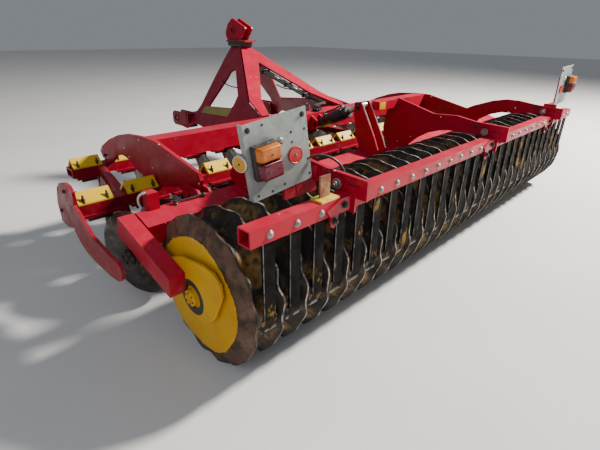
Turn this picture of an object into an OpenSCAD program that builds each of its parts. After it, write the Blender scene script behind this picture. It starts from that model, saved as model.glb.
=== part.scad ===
/* [Roller] */
// Distance between neighbouring roller rings, also the scraper pitch
ring_pitch = 125; // [110:1:140]
// Number of roller rings
ring_count = 29; // [25:1:29]
// Outer radius of the roller at a ring crest
ring_r = 318; // [305:1:320]
// Radius at the bottom of the groove between two rings
groove_r = 252; // [235:1:262]
// Radius of the flat end plate of the drum
end_plate_r = 254; // [240:1:270]

/* [Discs] */
// Number of discs in each of the two rows
discs_per_row = 14; // [12:1:14]
// Distance between discs in one row
disc_pitch = 250; // [240:1:260]
// Disc radius
disc_r = 225; // [215:1:230]
// Depth of the dish of a disc
disc_dish = 34; // [20:1:40]
// Thickness of a disc
disc_t = 6; // [4:1:8]
// Angle of the discs to the driving direction
disc_angle = 18; // [12:1:20]
// First front disc, measured across from the middle
front_disc_x = -1590; // [-1592:1:-1586]
// First rear disc, measured across from the middle
rear_disc_x = -1762; // [-1764:1:-1760]
// Distance of the front discs behind the middle of their beam
front_disc_back = 250; // [245:1:260]
// Distance of the rear discs behind the middle of their beam
rear_disc_back = 248; // [243:1:258]
// Sideways distance from a disc to the arm on its right
arm_offset = 75; // [74:1:76]
// First clamp on the front beam, measured across from the middle
front_clamp_x = -1605; // [-1609:1:-1601]
// First clamp on the rear beam, measured across from the middle
rear_clamp_x = -1808; // [-1810:1:-1806]

/* [Frame] */
// Width of the rear disc beam
rear_beam_w = 3800; // [3796:1:3804]
// Left end of the front disc beam, measured across from the middle
front_beam_left = 1705; // [1700:1:1740]
// Right end of the front disc beam
front_beam_right = 1770; // [1750:1:1790]
// Fore and aft depth of the disc beams
beam_s = 100; // [96:1:100]
// Height of the disc beams
beam_h = 56; // [52:1:60]
// Height of the top of the disc beams
beam_top = 470; // [460:1:480]
// Rear disc beam, ahead of the roller axle
rear_beam_y = 893; // [889:1:897]
// Front disc beam, ahead of the roller axle
front_beam_y = 1525; // [1510:1:1540]
// Main cross tube, ahead of the roller axle
main_tube_y = 950; // [940:1:960]
// Height of the top of the main cross tube
main_tube_top = 715; // [700:1:720]
// Side of the main cross tube
main_tube_s = 120; // [100:1:120]
// Side plates, left and right of the middle
side_plate_x = 1450; // [1440:1:1460]

/* [Hitch] */
// Height of the top link bore
top_link_z = 1262; // [1240:1:1280]
// Top link bore, ahead of the roller axle
top_link_y = 1990; // [1970:1:2000]
// Radius of the top link bore
top_link_r = 16.1; // [16:0.1:16.3]
// Height of the lower link bores
lower_link_z = 540; // [520:1:560]
// Lower link bores, ahead of the roller axle
lower_link_y = 2240; // [2220:1:2250]
// Radius of the lower link bores
lower_link_r = 18.6; // [18.4:0.1:18.8]
// Middle of a lower link mouth, from the middle of the machine
lower_link_x = 482; // [476:1:490]

/* [Roller frame] */
// Pivot of the roller frame, ahead of the roller axle
pivot_y = 520; // [515:1:525]
// Height of that pivot
pivot_z = 520; // [515:1:525]
// Lean of the side arms and the front tube
arm_lean = 18.5; // [18:0.5:19]
// Rear face of the scraper beam, behind the roller axle
scraper_beam_y = -320; // [-325:1:-316]
// Side of the square scraper beam
scraper_beam_s = 62; // [58:1:64]
// Height of the top of the scraper beam
scraper_beam_top = 692; // [690:1:696]

/* [Hidden] */
$fn = 48;

red = [0.80, 0.05, 0.07];
yellow = [0.93, 0.75, 0.10];
dark = [0.16, 0.14, 0.12];
steel = [0.45, 0.44, 0.42];

// Lowest and highest Y of the machine, measured from the roller axle
rear_end_y = -386;
front_end_y = 2300;
axle_y = -(rear_end_y + front_end_y) / 2;
roller_half = ring_pitch * (ring_count - 1) / 2;
scraper_count = ring_count - 1;
function scraper_x(k) = -roller_half + ring_pitch * (k + 0.5);

// Places everything measured from the roller axle into the machine's frame
module M() { translate([0, axle_y, 0]) children(); }
// A flat plate standing along the machine, its outline given in Y and Z
module yz(pts, x, t) { translate([x - t / 2, 0, 0]) rotate([90, 0, 90]) linear_extrude(t) polygon(pts); }
// A round bar or hole across the machine
module xcyl(x, y, z, r, l) { translate([x - l / 2, y, z]) rotate([0, 90, 0]) cylinder(r = r, h = l); }
// A box given by its low corner and size
module box(p, s) { translate(p) cube(s); }
// A hollow square tube across the machine, from its low corner
module xtube(x0, x1, y0, z0, sy, sz, w) {
  difference() {
    box([x0, y0, z0], [x1 - x0, sy, sz]);
    box([x0 - 1, y0 + w, z0 + w], [x1 - x0 + 2, sy - 2 * w, sz - 2 * w]);
  }
}
// A bar of square section between two points
module bar(a, b, w, t) {
  d = b - a; l = norm(d);
  translate(a) rotate([0, acos(d[2] / l), atan2(d[1], d[0])]) translate([-t / 2, -w / 2, 0]) cube([t, w, l]);
}
// A round bar between two points
module rod(a, b, r) {
  d = b - a; l = norm(d);
  translate(a) rotate([0, acos(d[2] / l), atan2(d[1], d[0])]) cylinder(r = r, h = l);
}

// ---------- main frame ----------
module main_cross_tube() color(red) M()
  xtube(-side_plate_x + 10, side_plate_x - 10, main_tube_y - main_tube_s / 2, main_tube_top - main_tube_s, main_tube_s, main_tube_s, 10);

module front_disc_beam() color(red) M()
  xtube(-front_beam_left, front_beam_right, front_beam_y - beam_s / 2, beam_top - beam_h, beam_s, beam_h, 8);

module rear_disc_beam() color(red) M()
  xtube(-rear_beam_w / 2, rear_beam_w / 2, rear_beam_y - beam_s / 2, beam_top - beam_h, beam_s, beam_h, 8);

// X of each short tube between the two disc beams, at its rear and its front end
spacer_x = [[-1640, -1530], [-500, -500], [500, 500], [1500, 1500]];
module beam_spacers() color(red) M()
  for (p = spacer_x)
    translate([0, 0, beam_top - beam_h + 4]) linear_extrude(beam_h - 8)
      polygon([[p[0] - 23, rear_beam_y + beam_s / 2], [p[0] + 23, rear_beam_y + beam_s / 2], [p[1] + 23, front_beam_y - beam_s / 2], [p[1] - 23, front_beam_y - beam_s / 2]]);

// Outline of a side plate in Y and Z: front foot on the front beam, arch, long tail to the pivot
side_outline = [[1560, 470], [1604, 478], [1632, 520], [1588, 560], [1449, 628], [1302, 678], [1186, 703], [1011, 718],
  [852, 720], [569, 661], [450, 636], [436, 600], [450, 560], [478, 500], [495, 470], [530, 462], [560, 480], [640, 520], [790, 482],
  [835, 470], [1005, 470], [1015, 482], [1110, 500], [1180, 545], [1280, 560], [1380, 536], [1450, 486], [1480, 470]];
module side_plate(x) {
  difference() {
    yz(side_outline, x, 20);
    xcyl(x, pivot_y, pivot_z, 20.4, 40);
  }
  for (s = [-1, 1]) difference() {
    xcyl(x + s * 13, pivot_y, pivot_z, 34, 6);
    xcyl(x + s * 13, pivot_y, pivot_z, 20.4, 8);
  }
}
module left_side_plate() color(red) M() side_plate(-side_plate_x);
module right_side_plate() color(red) M() side_plate(side_plate_x);

// ---------- headstock ----------
hs_lean = 38.42;
hs_toe = 7.41;
hs_base_x = 544.5;
hs_base_z = 470;
hs_t = 16;
// Outline of a headstock plate: along the plate (2100 at its front foot) and up its slope
hs_outline = [[2105, 910], [1940, 910], [1924, 815], [1372, 371], [1108, 284], [960, 290], [960, 170], [1200, 165], [1380, 110],
  [1400, -40], [1660, -40], [1670, 60], [1960, 80], [2050, 12], [2120, 12], [2120, 172], [2035, 185], [2027, 250],
  [2068, 503], [2091, 703]];
hs_hole = [[1866, 541], [1873, 600], [1835, 629], [1790, 608], [1712, 538], [1557, 405], [1537, 310], [1550, 290], [1880, 256], [1895, 275]];
// Frame of the slope from the lower links up to the top link; side is -1 or 1
module hs_frame(side) {
  translate([side * hs_base_x, 2100, hs_base_z]) rotate([0, 0, side * hs_toe]) rotate([0, -side * hs_lean, 0])
    translate([0, -2100, 0]) children();
}
// Everything outboard of the inner face of a headstock plate
module hs_outside(side) {
  hs_frame(side) translate([side > 0 ? -hs_t / 2 : hs_t / 2 - 900, 600, -700]) cube([900, 2000, 2000]);
}
module headstock_plate(side) {
  difference() {
    hs_frame(side) translate([-hs_t / 2, 0, 0]) rotate([90, 0, 90]) linear_extrude(hs_t) difference() {
      polygon(hs_outline);
      polygon(hs_hole);
    }
    // flush with the main tube, the front beam, the top link base and the other plate
    box([-900, 700, 400], [1800, main_tube_y + main_tube_s / 2 - 700, 500]);
    box([-900, 1350, 300], [1800, 350, beam_top - 300]);
    box([-900, 1700, 1172], [1800, 500, 200]);
    box([side > 0 ? -300 : 0, 1700, 900], [300, 500, 400]);
    // clear of the lower link ears
    box([side * lower_link_x - 47, 2046, 440], [94, 300, 200]);
  }
}
module left_headstock_plate() color(red) M() headstock_plate(-1);
module right_headstock_plate() color(red) M() headstock_plate(1);

// Outline of a top link ear in Y and Z
ear_outline = [[1894, 1180], [2060, 1180], [2086, 1215], [2090, 1244], [2056, 1312], [2000, 1352], [1982, 1357], [1822, 1288], [1816, 1276], [1858, 1226]];
module top_link_clevis() color(red) M() {
  for (s = [-1, 1]) difference() {
    union() {
      yz(ear_outline, s * 36, 16);
      xcyl(s * 46, top_link_y, top_link_z, 30, 8);
    }
    xcyl(s * 40, top_link_y, top_link_z, top_link_r, 60);
  }
  box([-62, 1800, 1172], [124, 262, 14]);
}
// The rear legs of the headstock: one plate in the slope of both legs, split below like an A, and the flatter tails
leg_top = [1876, 1122];
leg_kink = [1351, 766];
leg_tail = [1131, 686];
leg_slope = atan2(leg_top[1] - leg_kink[1], leg_top[0] - leg_kink[0]);
leg_l = norm(leg_top - leg_kink);
tail_slope = atan2(leg_kink[1] - leg_tail[1], leg_kink[0] - leg_tail[0]);
tail_l = norm(leg_kink - leg_tail);
leg_t = 12;
module headstock_braces() color(red) M() {
  difference() {
    union() {
      translate([0, leg_kink[0], leg_kink[1]]) rotate([leg_slope, 0, 0]) linear_extrude(leg_t)
        polygon([[-405, 0], [-285, 0], [0, 430], [285, 0], [405, 0], [52, leg_l], [-52, leg_l]]);
      for (s = [-1, 1])
        translate([0, leg_tail[0], leg_tail[1]]) rotate([tail_slope, 0, 0]) linear_extrude(leg_t)
          polygon([[s * 467, 0], [s * 400, 0], [s * 285, tail_l], [s * 405, tail_l]]);
    }
    // flush with the two headstock plates
    for (s = [-1, 1]) hs_frame(s) translate([-hs_t / 2 - 0.5, 0, 0]) rotate([90, 0, 90]) linear_extrude(hs_t + 1) polygon(hs_outline);
  }
  // cross tube between the two plates, below the tails
  difference() {
    box([-520, 1136, 632], [1040, 56, 48]);
    for (s = [-1, 1]) hs_outside(s);
  }
  for (s = [-1, 1]) box([s * 404 - 8, 1140, 676], [16, 40, 18]);
}
ear_low = [[2060, 480], [2275, 480], [2300, 505], [2300, 575], [2275, 600], [2080, 600]];
module lower_link_ears() color(red) M()
  for (s = [-1, 1]) {
    difference() {
      union() {
        yz(ear_low, s * (lower_link_x - 38), 16);
        yz(ear_low, s * (lower_link_x + 38), 16);
      }
      xcyl(s * lower_link_x, lower_link_y, lower_link_z, lower_link_r, 200);
    }
    box([s * lower_link_x - 46, 2046, 480], [92, 14, 120]);
  }

// ---------- discs and what carries them ----------
// Roof shaped upper shell of a clamp on a disc beam
clamp_w = 172;
module clamp(x, y) yz([[y - 52, beam_top], [y - 52, beam_top + 8], [y, beam_top + 58], [y + 52, beam_top + 8], [y + 52, beam_top], [y + 36, beam_top],
  [y, beam_top + 42], [y - 36, beam_top]], x, clamp_w);
module disc_clamps() color(yellow) M()
  difference() {
    for (k = [0 : discs_per_row - 1]) {
      clamp(front_clamp_x + k * disc_pitch, front_beam_y);
      clamp(rear_clamp_x + k * disc_pitch, rear_beam_y);
    }
    // slots for the side plates and the feet of the headstock
    for (s = [-1, 1]) {
      box([s * side_plate_x - 11, rear_beam_y - 60, beam_top - 5], [22, front_beam_y - rear_beam_y + 120, 80]);
      box([s > 0 ? 550 : -645, front_beam_y - 60, beam_top - 5], [95, 120, 80]);
    }
  }

function row_y(row) = row < 0 ? front_beam_y - front_disc_back : rear_beam_y - rear_disc_back;
function row_x(row) = row < 0 ? front_disc_x : rear_disc_x;
// Frame of a disc, dished towards local Z; row is -1 for front, 1 for rear. The arm is on the right of every disc
module disc_frame(row, k) {
  translate([row_x(row) + k * disc_pitch, row_y(row), disc_r]) rotate([0, 0, row * disc_angle])
    rotate([0, row * 90, 0]) children();
}
dish_R = (disc_r * disc_r + disc_dish * disc_dish) / (2 * disc_dish);
function dish_z(r) = dish_R - sqrt(dish_R * dish_R - r * r);
dish_steps = [0, 60, 110, 150, 190, 225];
module disc(row, k) color(dark) M() disc_frame(row, k) {
  rotate_extrude() polygon(concat(
    [for (r = dish_steps) [r * disc_r / 225, dish_z(r * disc_r / 225)]],
    [for (i = [len(dish_steps) - 1 : -1 : 0]) [max(0, dish_steps[i] * disc_r / 225 - 1), dish_z(dish_steps[i] * disc_r / 225) + disc_t]]));
  translate([0, 0, -12]) cylinder(r = 56, h = 16);
  if (row < 0) {
    translate([0, 0, -72]) cylinder(r = 20, h = 61);
    translate([0, 0, 3]) cylinder(r = 42, h = 19);
  } else {
    translate([0, 0, -24]) cylinder(r = 42, h = 13);
    translate([0, 0, 3]) cylinder(r = 50, h = 11);
    translate([0, 0, 13]) cylinder(r = 20, h = 59);
  }
}
// Side view of a disc arm, measured from the beam centre line and the ground
module disc_arm(row, k) {
  ax = row_x(row) + k * disc_pitch + arm_offset;
  by = row < 0 ? front_beam_y : rear_beam_y;
  hy = row_y(row) + row * arm_offset * tan(disc_angle);
  cx = (row < 0 ? front_clamp_x : rear_clamp_x) + k * disc_pitch;
  hl = arm_offset / cos(disc_angle);
  // foot plate under the beam
  box([cx - 80, by - 62, beam_top - beam_h - 14], [row < 0 ? 192 : 220, 124, 14]);
  difference() {
    union() {
      yz([[by + 60, beam_top - beam_h - 14], [by + 60, beam_top - beam_h - 44], [by + 10, 300], [hy + 90, 205],
        [hy + 20, 180], [hy - 30, 190], [hy - 44, 225], [hy - 30, 262], [by - 165, 330], [by - 66, beam_top - beam_h - 38], [by - 60, beam_top - beam_h - 14]], ax, 34);
      disc_frame(row, k) translate([0, 0, row < 0 ? -hl : 20]) cylinder(r = 43, h = hl - (row < 0 ? 18 : 20));
    }
    disc_frame(row, k) translate([0, 0, row < 0 ? -76 : 12]) cylinder(r = 20.4, h = row < 0 ? 70 : 64);
  }
}
module front_disc_arms() color(red) M() for (k = [0 : discs_per_row - 1]) disc_arm(-1, k);
module rear_disc_arms() color(red) M() for (k = [0 : discs_per_row - 1]) disc_arm(1, k);

// Outline of a side limiter in Y and Z: an arched hanger and a long curved blade
limiter_hanger = [[1032, 452], [989, 538], [935, 577], [856, 597], [800, 592], [774, 570], [772, 500], [780, 443], [800, 400], [831, 373], [931, 342], [1025, 350]];
limiter_blade = [[800, 500], [736, 521], [679, 494], [629, 456], [567, 423], [490, 407], [406, 393], [331, 392], [305, 376], [298, 350], [308, 318],
  [340, 294], [429, 283], [574, 288], [681, 304], [749, 337], [791, 376]];
limiter_x = rear_beam_w / 2 + 17;
module side_limiters() color(red) M()
  for (s = [-1, 1]) {
    yz(limiter_hanger, s * (limiter_x + 8), 16);
    yz(limiter_blade, s * (limiter_x + 24), 16);
    box([s * (limiter_x - 8.5) - 8.5, rear_beam_y - 40, beam_top - beam_h], [17, 80, beam_h]);
  }

// ---------- roller frame ----------
module leaned_x(y, z) { translate([0, y, z]) rotate([arm_lean, 0, 0]) children(); }
// The front tube leans with the side arms; its front top edge is at tube_y, tube_z
tube_y = 420;
tube_z = 541;
tube_s = 112;
arm_x = 1846;
arm_w = 70;
tube_half = arm_x - arm_w / 2;
module roller_front_tube() color(red) M() {
  leaned_x(tube_y, tube_z) {
    translate([-tube_half + 8, -tube_s, -tube_s]) cube([2 * tube_half - 16, tube_s, tube_s]);
    // narrower neck that leaves a slot to the side arm
    translate([-tube_half, -tube_s + 8, -80]) cube([2 * tube_half, tube_s - 20, 68]);
  }
  for (s = [-1, 1]) for (d = [-1, 1]) difference() {
    yz([[420, 450], [520, 470], [560, 500], [560, 545], [535, 565], [430, 558], [400, 525]], s * side_plate_x + d * 30, 14);
    xcyl(s * side_plate_x + d * 30, pivot_y, pivot_z, 20.05, 20);
  }
  for (s = [-1, 1]) xcyl(s * side_plate_x, pivot_y, pivot_z, 20, 86);
  for (s = [-1, 1]) box([s * 1719 - 25, 404, 526], [50, 57, 87]);
}
// Side arm: a box of the same lean from the front tube to the bearing
module roller_side_arms() color(red) M()
  for (s = [-1, 1])
    yz([[420, 542], [449, 455], [42, 325], [34, 413]], s * arm_x, arm_w);

// Yellow bearing bracket inboard of the side arm: a plate around the hub with a dark bearing ring set into it
bracket_outline = [[215, 440], [158, 430], [100, 455], [52, 474], [-79, 492], [-152, 488], [-190, 458], [-196, 407], [-170, 350],
  [-140, 290], [-110, 258], [-60, 234], [0, 228], [60, 234], [105, 258], [135, 300], [215, 385]];
hub_r = 46;
module bearing_brackets() color(yellow) M()
  for (s = [-1, 1]) {
    difference() {
      yz(bracket_outline, s * (tube_half - 6), 12);
      xcyl(s * tube_half, 0, ring_r, 76, 60);
    }
    difference() {
      xcyl(s * (tube_half - 9.5), 0, ring_r, 77, 5);
      xcyl(s * tube_half, 0, ring_r, hub_r + 4, 60);
    }
  }

module scraper_beam() color(red) M() {
  xtube(-1772, 1772, scraper_beam_y, scraper_beam_top - scraper_beam_s, scraper_beam_s, scraper_beam_s, 6);
}
// Each scraper: a flat bar below the beam and a wider tip near the groove
module scrapers() color(dark) M()
  for (k = [0 : scraper_count - 1]) {
    box([scraper_x(k) - 25, scraper_beam_y + 6, 320], [50, 14, scraper_beam_top - scraper_beam_s - 320]);
    translate([scraper_x(k) - 35, scraper_beam_y + 6, 318]) rotate([14, 0, 0]) translate([0, 0, -60]) cube([70, 10, 62]);
  }

// Outline of an outer arch arm in Y and Z
arch_outline = [[470, 575], [455, 620], [300, 700], [150, 755], [40, 778], [-60, 778], [-180, 762], [-386, 752], [-386, 672],
  [-328, 672], [-328, 694], [-150, 694], [-60, 678], [60, 672], [160, 640], [240, 590], [300, 490], [426, 530]];
// Outline of the taller centre arm
centre_outline = [[470, 575], [480, 640], [455, 790], [400, 846], [370, 850], [210, 809], [100, 780], [-60, 788], [-190, 768], [-386, 762], [-386, 672],
  [-328, 672], [-328, 694], [-100, 694], [-18, 690], [43, 680], [130, 650], [209, 600], [262, 550], [300, 490], [426, 530]];
arch_x = [-1250, 1240];
centre_x = 140;
// Clasp on the rear face of the scraper beam, from the middle of the arm, in X and Z; it ends in a lug on the left
clasp_outline = [[-165, 656], [-85, 690], [77, 690], [77, 634], [-100, 632], [-108, 590], [-125, 580], [-143, 590], [-146, 630]];
module arch(pts, x) {
  difference() {
    yz(pts, x, 20);
    leaned_x(tube_y, tube_z) translate([x - 20, -tube_s, -tube_s]) cube([40, tube_s, tube_s]);
    box([x - 20, scraper_beam_y - 8, 600], [40, scraper_beam_s + 8, 94]);
  }
  xcyl(x, -256, 718, 24, 60);
  difference() {
    yz([[-346, 722], [-246, 722], [-244, 616], [-340, 616]], x - 16, 12);
    box([x - 40, scraper_beam_y, scraper_beam_top - scraper_beam_s], [40, scraper_beam_s, scraper_beam_s]);
  }
  translate([x, scraper_beam_y, 0]) rotate([90, 0, 0]) linear_extrude(8) polygon(clasp_outline);
}
module outer_arch_arms() color(red) M() for (x = arch_x) arch(arch_outline, x);
module centre_arch_arm() color(red) M() arch(centre_outline, centre_x);

// ---------- depth cylinder and lever ----------
lever_x = -150;
lever_pin = [lever_x, 475, 815];
base_pin = [lever_x, 850, 645];
lever_outline = [[500, 840], [450, 846], [330, 640], [290, 556], [314, 494], [428, 524], [475, 620], [505, 790]];
module lever_plates() color(red) M() {
  difference() {
    union() {
      for (s = [-1, 1]) yz(lever_outline, lever_x + s * 42, 14);
    }
    leaned_x(tube_y, tube_z) translate([lever_x - 80, -tube_s, -tube_s]) cube([160, tube_s, tube_s]);
  }
  xcyl(lever_x, lever_pin[1], lever_pin[2], 15, 110);
  // upper cross tube from the lever to the centre arm
  box([lever_x + 49, 372, 790], [centre_x - 10 - lever_x - 49, 60, 55]);
}
module cylinder_lugs() color(red) M()
  for (s = [-1, 1]) difference() {
    yz([[main_tube_y - 60, 600], [main_tube_y - 60, 700], [850, 680], [822, 660], [822, 630], [850, 608]], lever_x + s * 42, 14);
    xcyl(lever_x + s * 42, base_pin[1], base_pin[2], 15, 20);
  }
cyl_dir = (lever_pin - base_pin) / norm(lever_pin - base_pin);
cyl_len = norm(lever_pin - base_pin);
// Frame of the cylinder: local Z from the base pin to the lever pin
module cyl_frame() {
  translate(base_pin) rotate([atan2(-cyl_dir[1], cyl_dir[2]), 0, 0]) children();
}
module depth_cylinder() color([0.08, 0.08, 0.09]) M() {
  difference() {
    cyl_frame() union() {
      translate([0, 0, 44]) cylinder(r = 36, h = 234);
      translate([0, 0, 270]) cylinder(r = 40, h = 22);
      translate([-25, -22, -2]) cube([50, 44, 50]);
      rotate([0, 90, 0]) translate([0, 0, -25]) cylinder(r = 27, h = 50);
    }
    cyl_frame() translate([0, 0, 60]) cylinder(r = 18.3, h = 250);
  }
  xcyl(lever_x, base_pin[1], base_pin[2], 14.9, 108);
}
module depth_rod() color(steel) M()
  difference() {
    cyl_frame() union() {
      translate([0, 0, 150]) cylinder(r = 18, h = cyl_len - 150 - 20);
      translate([-22, -26, cyl_len - 34]) cube([44, 52, 30]);
      translate([0, 0, cyl_len]) rotate([0, 90, 0]) translate([0, 0, -22]) cylinder(r = 28, h = 44);
    }
    xcyl(lever_x, lever_pin[1], lever_pin[2], 17, 60);
  }

// Route of the two hoses held along the right leg
hose_pts = [[-12, 1740, 1010], [-12, 1690, 976], [260, 1351, 746], [246, 1270, 738], [190, 1130, 730], [40, 1060, 726], [-60, 1000, 726], [-112, 915, 728]];
module hose(dx, dz) {
  for (i = [0 : len(hose_pts) - 2]) {
    a = hose_pts[i] + [dx, 0, dz]; b = hose_pts[i + 1] + [dx, 0, dz];
    rod(a, b, 9);
    translate(b) sphere(r = 9, $fn = 24);
  }
}
module hydraulic_hoses() color([0.07, 0.07, 0.07]) M() {
  hose(0, 0);
  hose(26, 0);
  // clip that holds them on the main tube
  box([-120, 930, main_tube_top], [78, 22, 22]);
}

// ---------- lights ----------
board_w = 285;
board_h = 290;
// Each board: outer top corner, turned a little and hanging askew
board_tl = [-1624, -110, 966];
board_tr = [-1672, -275, 1048];
module board_frame(side) {
  if (side < 0) translate(board_tl) rotate([0, -8.5, -5.6]) children();
  else mirror([1, 0, 0]) translate(board_tr) rotate([0, 2, 0]) children();
}
module light_boards() color([0.62, 0.65, 0.64]) M()
  for (s = [-1, 1]) board_frame(s) {
    translate([0, 0, -board_h]) cube([board_w, 4, board_h]);
    translate([0, 0, -board_h]) cube([4, 30, board_h]);
    translate([0, 0, -172]) cube([4, 62, 64]);
  }
module lamps() color([0.75, 0.12, 0.08]) M()
  for (s = [-1, 1]) board_frame(s) {
    translate([18, -58, -207]) cube([104, 58, 127]);
    translate([212, -8, -170]) rotate([-90, 0, 0]) cylinder(r = 34, h = 8);
    translate([-8, 31, -140]) rotate([0, 90, 0]) cylinder(r = 29, h = 8);
  }
module light_brackets() color(red) M() {
  // left: a flat bar from the arch arm, a strap up the front of the board, and a flat upright on the scraper beam
  difference() {
    union() {
      box([-1440, -128, 655], [180, 12, 63]);
      box([-1272, -150, 700], [12, 50, 60]);
    }
    board_frame(-1) translate([-40, -60, -board_h - 6]) cube([board_w + 80, 64, board_h + 40]);
  }
  board_frame(-1) translate([205, 4, -340]) cube([40, 9, 225]);
  box([-1437, -319, scraper_beam_top], [98, 58, 8]);
  box([-1415, -290, scraper_beam_top + 8], [54, 8, 84]);
  // right: a flat bar from the end of the arch arm, and a strap up the board
  box([1250, -330, 745], [12, 90, 30]);
  box([1250, -271, 745], [190, 12, 30]);
  box([1405, -271, 745], [22, 9, 220]);
}

// ---------- roller ----------
// One half of a ring: crest width and flank down to the groove
crest_w = 10;
module packer_roller() color(dark) M() translate([0, 0, ring_r]) rotate([0, 90, 0]) {
  rotate_extrude() polygon(concat(
    [[0, -roller_half - 34], [end_plate_r - 20, -roller_half - 34], [end_plate_r, -roller_half - 28]],
    [for (k = [0 : ring_count - 1]) for (q = [[-crest_w / 2, ring_r], [crest_w / 2, ring_r], [ring_pitch / 2, groove_r]])
      if (k < ring_count - 1 || q[0] < ring_pitch / 2) [q[1], -roller_half + k * ring_pitch + q[0]]],
    [[end_plate_r, roller_half + 28], [end_plate_r - 20, roller_half + 34], [0, roller_half + 34]]));
  for (s = [-1, 1]) {
    translate([0, 0, s * (roller_half + 42)]) cylinder(r = hub_r, h = 24, center = true);
    translate([0, 0, s * (roller_half + 60)]) cylinder(r = 34, h = 34, center = true);
  }
}

main_cross_tube();
front_disc_beam();
rear_disc_beam();
beam_spacers();
left_side_plate();
right_side_plate();
left_headstock_plate();
right_headstock_plate();
top_link_clevis();
headstock_braces();
lower_link_ears();
disc_clamps();
front_disc_arms();
rear_disc_arms();
side_limiters();
cylinder_lugs();
hydraulic_hoses();
roller_front_tube();
roller_side_arms();
bearing_brackets();
scraper_beam();
scrapers();
outer_arch_arms();
centre_arch_arm();
lever_plates();
light_brackets();
light_boards();
lamps();
packer_roller();
depth_cylinder();
depth_rod();
disc(-1, 0);  // front_disc_01
disc(-1, 1);  // front_disc_02
disc(-1, 2);  // front_disc_03
disc(-1, 3);  // front_disc_04
disc(-1, 4);  // front_disc_05
disc(-1, 5);  // front_disc_06
disc(-1, 6);  // front_disc_07
disc(-1, 7);  // front_disc_08
disc(-1, 8);  // front_disc_09
disc(-1, 9);  // front_disc_10
disc(-1, 10);  // front_disc_11
disc(-1, 11);  // front_disc_12
disc(-1, 12);  // front_disc_13
disc(-1, 13);  // front_disc_14
disc(1, 0);  // rear_disc_01
disc(1, 1);  // rear_disc_02
disc(1, 2);  // rear_disc_03
disc(1, 3);  // rear_disc_04
disc(1, 4);  // rear_disc_05
disc(1, 5);  // rear_disc_06
disc(1, 6);  // rear_disc_07
disc(1, 7);  // rear_disc_08
disc(1, 8);  // rear_disc_09
disc(1, 9);  // rear_disc_10
disc(1, 10);  // rear_disc_11
disc(1, 11);  // rear_disc_12
disc(1, 12);  // rear_disc_13
disc(1, 13);  // rear_disc_14
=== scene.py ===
import bpy
import bmesh
import math
import random
import numpy as np
from mathutils import Matrix, Vector


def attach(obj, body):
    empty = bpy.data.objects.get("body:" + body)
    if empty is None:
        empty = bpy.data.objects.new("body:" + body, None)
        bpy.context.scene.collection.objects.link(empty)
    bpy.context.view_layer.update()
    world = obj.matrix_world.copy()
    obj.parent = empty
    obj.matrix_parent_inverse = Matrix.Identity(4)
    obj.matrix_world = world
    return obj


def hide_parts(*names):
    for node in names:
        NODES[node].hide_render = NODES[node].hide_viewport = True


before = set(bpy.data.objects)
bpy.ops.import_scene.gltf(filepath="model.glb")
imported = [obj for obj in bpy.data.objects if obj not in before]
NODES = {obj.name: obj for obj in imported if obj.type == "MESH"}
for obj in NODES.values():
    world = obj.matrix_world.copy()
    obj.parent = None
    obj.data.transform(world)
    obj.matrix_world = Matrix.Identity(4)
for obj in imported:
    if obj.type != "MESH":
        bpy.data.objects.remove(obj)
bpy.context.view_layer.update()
scene = bpy.context.scene
AXLE_Y = -0.957
rnd = random.Random(7)


def P(x, y, z):
    """A point in millimetres, Y ahead of the roller axle, as metres in the row frame."""
    return Vector((x / 1000.0, y / 1000.0 + AXLE_Y, z / 1000.0))


# ------------------------------------------------------------------ camera
cam_data = bpy.data.cameras.new("camera")
cam = bpy.data.objects.new("camera", cam_data)
scene.collection.objects.link(cam)
yaw, pitch, roll = 0.801354, -0.429612, 0.015063
fwd = Vector((math.sin(yaw) * math.cos(pitch), math.cos(yaw) * math.cos(pitch), math.sin(pitch)))
right = Vector((math.cos(yaw), -math.sin(yaw), 0.0))
up = right.cross(fwd)
r2 = math.cos(roll) * right + math.sin(roll) * up
u2 = -math.sin(roll) * right + math.cos(roll) * up
cam.matrix_world = Matrix(((r2.x, u2.x, -fwd.x, -2.4985), (r2.y, u2.y, -fwd.y, -1.2386 + AXLE_Y), (r2.z, u2.z, -fwd.z, 1.2525), (0, 0, 0, 1)))
cam_data.sensor_width = 36.0
cam_data.lens = 419.887 / 600.0 * 36.0
cam_data.clip_start = 0.05
cam_data.clip_end = 100.0
scene.camera = cam


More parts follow.
